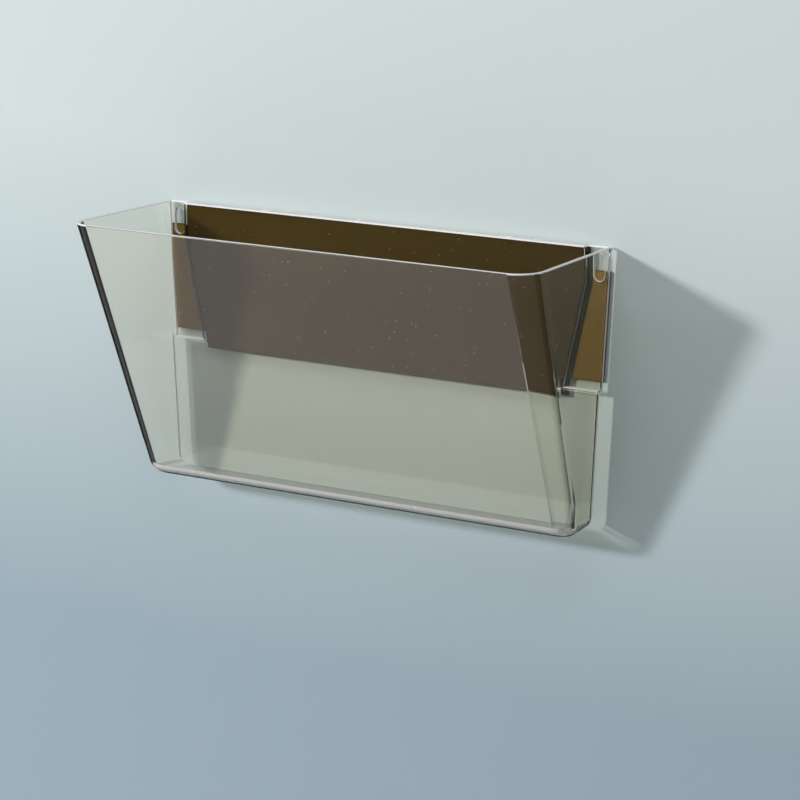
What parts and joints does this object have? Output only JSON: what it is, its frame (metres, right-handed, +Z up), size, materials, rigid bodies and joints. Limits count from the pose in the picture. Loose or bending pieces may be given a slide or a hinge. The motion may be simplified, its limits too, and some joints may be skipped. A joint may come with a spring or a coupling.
{
  "type": "magnetic wall file holder",
  "caption": "Clear moulded pocket that holds letter files upright on a steel face with flexible magnets behind its back panel.",
  "frame": {"origin": "middle of the large magnet sheet's back face, on the plane that meets the steel", "axes": "+X across the holder, +Y out of the back into the steel face, +Z up"},
  "size_m": [0.3326, 0.1007, 0.171],
  "materials": {
    "clear_plastic": "clear, glossy moulded polystyrene",
    "flexible_magnet": "matte ferrite-filled rubber sheet, dark brown",
    "dark_foam": "closed-cell foam with adhesive on both faces",
    "adhesive_film": "thin double-sided film"
  },
  "bodies": {
    "root": {"pocket_shell": "clear_plastic", "magnet_sheet": "flexible_magnet", "magnet_strip_left": "flexible_magnet", "magnet_strip_right": "flexible_magnet", "mounting_pad": "dark_foam", "adhesive_film_left": "adhesive_film", "adhesive_film_right": "adhesive_film"}
  },
  "joints": []
}
